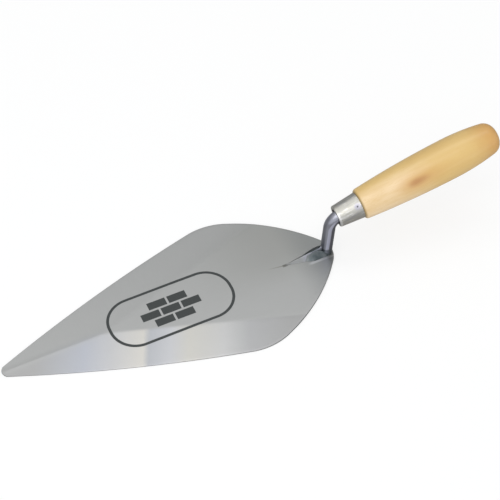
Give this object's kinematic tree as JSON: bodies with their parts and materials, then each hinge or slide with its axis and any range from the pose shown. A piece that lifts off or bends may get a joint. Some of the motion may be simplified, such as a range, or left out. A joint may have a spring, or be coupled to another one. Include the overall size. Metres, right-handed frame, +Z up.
{
  "type": "brick trowel",
  "caption": "Brick trowel with a flat pointed steel blade, a cranked shank welded to its heel, a tapered steel ferrule and a turned wooden handle.",
  "frame": {"origin": "on the blade's flat underside, at the foot of the shank's centre line", "axes": "+X from the blade towards the handle's butt, +Z up out of the blade's top face, and the blade is symmetric about Y = 0"},
  "size_m": [0.4239, 0.129, 0.0823],
  "materials": {
    "blade_steel": "ground and brushed, with a printed mark",
    "shank_steel": "smooth blue-grey forged steel, lightly polished",
    "weld_metal": "ground weld with a slight heat tint",
    "ferrule_plate": "nickel plated, satin bright",
    "brad_steel": "dark plain steel",
    "handle_wood": "pale beech under clear varnish"
  },
  "bodies": {
    "root": {"blade": "blade_steel", "shank": "shank_steel", "weld_fillet": "weld_metal", "ferrule": "ferrule_plate", "ferrule_brad": "brad_steel", "handle": "handle_wood"}
  },
  "joints": []
}
